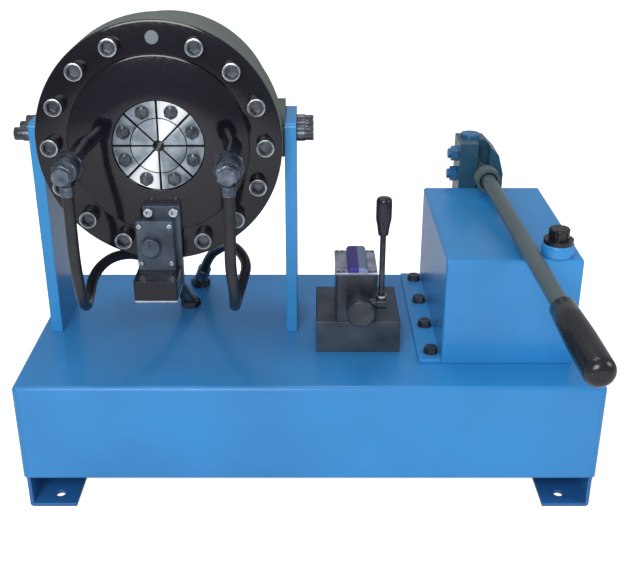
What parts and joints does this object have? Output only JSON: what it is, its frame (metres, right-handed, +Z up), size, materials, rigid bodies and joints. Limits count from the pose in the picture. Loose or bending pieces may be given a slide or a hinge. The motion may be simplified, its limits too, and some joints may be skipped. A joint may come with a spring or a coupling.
{
  "type": "manual hydraulic hose crimping machine",
  "caption": "Bench hose crimping machine: round die head with radial dies, hand-lever valve, oil tank and long-handled hand pump on a folded steel base.",
  "frame": {"origin": "on the floor, at the middle of the four fixing holes in the foot rails", "axes": "+X to the right, +Y to the back, +Z up, as seen by a person who stands in front of the die head"},
  "size_m": [0.806, 0.6714, 0.66],
  "materials": {
    "rail_blue": "gloss",
    "base_blue": "gloss",
    "tank_blue": "gloss",
    "head_grey": "satin",
    "head_black": "gloss",
    "plate_blue": "gloss",
    "screw_black": "blackened",
    "fitting_steel": "zinc plated",
    "hose_rubber": "satin",
    "stop_slate": "satin",
    "bright_steel": "ground",
    "seal_rubber": "matte",
    "valve_black": "satin",
    "knob_plastic": "gloss",
    "pump_teal": "gloss",
    "handle_green": "satin"
  },
  "bodies": {
    "machine": {"foot_rail_left": "rail_blue", "foot_rail_right": "rail_blue", "base_pan": "base_blue", "filler_neck": "base_blue", "tank_shell": "tank_blue", "head_body": "head_grey", "head_rear_cover": "head_grey", "cone_ring": "head_grey", "head_front_plate": "head_black", "side_plate_left": "plate_blue", "side_plate_right": "plate_blue", "side_plate_screws": "screw_black", "flange_screws": "screw_black", "rear_cover_screws": "screw_black", "flange_plug": "screw_black", "port_pipes": "fitting_steel", "banjo_fittings": "fitting_steel", "banjo_bolts": "fitting_steel", "base_hose_ends": "fitting_steel", "hose_left": "hose_rubber", "hose_right": "hose_rubber", "stop_bracket": "stop_slate", "stop_block": "stop_slate", "stop_box": "stop_slate", "stop_screws": "bright_steel", "tank_screws": "bright_steel", "pump_pin": "bright_steel", "valve_plate": "bright_steel", "valve_manifold": "valve_black", "valve_body": "valve_black", "valve_end_cap": "valve_black", "pump_block": "pump_teal", "pump_plugs": "pump_teal"},
    "stop_knob": {"stop_knob": "stop_slate"},
    "valve_spool": {"valve_spool": "bright_steel"},
    "valve_lever": {"valve_lever": "valve_black", "lever_knob": "knob_plastic"},
    "breather_cap": {"breather_cap": "knob_plastic"},
    "pump_plunger": {"pump_plunger": "bright_steel"},
    "pump_lever": {"pump_socket": "handle_green", "pump_handle": "handle_green", "pump_grip": "knob_plastic"},
    "ram": {"ram": "bright_steel", "ram_seal": "seal_rubber"},
    "die_shoe_1": {"die_shoe_1": "bright_steel", "die_1": "bright_steel"},
    "die_shoe_2": {"die_shoe_2": "bright_steel", "die_2": "bright_steel"},
    "die_shoe_3": {"die_shoe_3": "bright_steel", "die_3": "bright_steel"},
    "die_shoe_4": {"die_shoe_4": "bright_steel", "die_4": "bright_steel"},
    "die_shoe_5": {"die_shoe_5": "bright_steel", "die_5": "bright_steel"},
    "die_shoe_6": {"die_shoe_6": "bright_steel", "die_6": "bright_steel"},
    "die_shoe_7": {"die_shoe_7": "bright_steel", "die_7": "bright_steel"},
    "die_shoe_8": {"die_shoe_8": "bright_steel", "die_8": "bright_steel"}
  },
  "joints": [
    {"name": "ram_slide", "type": "slide", "parent": "machine", "child": "ram", "axis": [0, 1, 0], "range_m": [0, 0.048]},
    {"name": "die_shoe_1_slide", "type": "slide", "parent": "ram", "child": "die_shoe_1", "axis": [0.9239, 0, -0.3827], "range_m": [0, 0.0125]},
    {"name": "die_shoe_2_slide", "type": "slide", "parent": "ram", "child": "die_shoe_2", "axis": [0.3827, 0, -0.9239], "range_m": [0, 0.0125]},
    {"name": "die_shoe_3_slide", "type": "slide", "parent": "ram", "child": "die_shoe_3", "axis": [-0.3827, 0, -0.9239], "range_m": [0, 0.0125]},
    {"name": "die_shoe_4_slide", "type": "slide", "parent": "ram", "child": "die_shoe_4", "axis": [-0.9239, 0, -0.3827], "range_m": [0, 0.0125]},
    {"name": "die_shoe_5_slide", "type": "slide", "parent": "ram", "child": "die_shoe_5", "axis": [-0.9239, 0, 0.3827], "range_m": [0, 0.0125]},
    {"name": "die_shoe_6_slide", "type": "slide", "parent": "ram", "child": "die_shoe_6", "axis": [-0.3827, 0, 0.9239], "range_m": [0, 0.0125]},
    {"name": "die_shoe_7_slide", "type": "slide", "parent": "ram", "child": "die_shoe_7", "axis": [0.3827, 0, 0.9239], "range_m": [0, 0.0125]},
    {"name": "die_shoe_8_slide", "type": "slide", "parent": "ram", "child": "die_shoe_8", "axis": [0.9239, 0, 0.3827], "range_m": [0, 0.0125]},
    {"name": "pump_lever_hinge", "type": "hinge", "parent": "machine", "child": "pump_lever", "pos_m": [0.276, 0.1845, 0.369], "axis": [-1, 0, 0], "range_deg": [0, 40]},
    {"name": "pump_plunger_slide", "type": "slide", "parent": "machine", "child": "pump_plunger", "axis": [0, 1, 0], "range_m": [0, 0.0125]},
    {"name": "valve_lever_hinge", "type": "hinge", "parent": "machine", "child": "valve_lever", "pos_m": [0.098, -0.1075, 0.287], "axis": [1, 0, 0], "range_deg": [-18, 18]},
    {"name": "valve_spool_slide", "type": "slide", "parent": "machine", "child": "valve_spool", "axis": [0, 1, 0], "range_m": [-0.002, 0.002]},
    {"name": "stop_knob_hinge", "type": "hinge", "parent": "machine", "child": "stop_knob", "pos_m": [-0.21438, -0.0935, 0.3645], "axis": [0, 1, 0], "range_deg": [-150, 150]},
    {"name": "breather_cap_slide", "type": "slide", "parent": "machine", "child": "breather_cap", "axis": [0, 0, 1], "range_m": [0, 0.03]}
  ],
  "couplings": [
    {"joint": "die_shoe_1_slide", "follows": "ram_slide", "ratio": 0.25},
    {"joint": "die_shoe_2_slide", "follows": "ram_slide", "ratio": 0.25},
    {"joint": "die_shoe_3_slide", "follows": "ram_slide", "ratio": 0.25},
    {"joint": "die_shoe_4_slide", "follows": "ram_slide", "ratio": 0.25},
    {"joint": "die_shoe_5_slide", "follows": "ram_slide", "ratio": 0.25},
    {"joint": "die_shoe_6_slide", "follows": "ram_slide", "ratio": 0.25},
    {"joint": "die_shoe_7_slide", "follows": "ram_slide", "ratio": 0.25},
    {"joint": "die_shoe_8_slide", "follows": "ram_slide", "ratio": 0.25},
    {"joint": "pump_plunger_slide", "follows": "pump_lever_hinge", "m_per_rad": 0.016},
    {"joint": "valve_spool_slide", "follows": "valve_lever_hinge", "m_per_rad": 0.006}
  ]
}
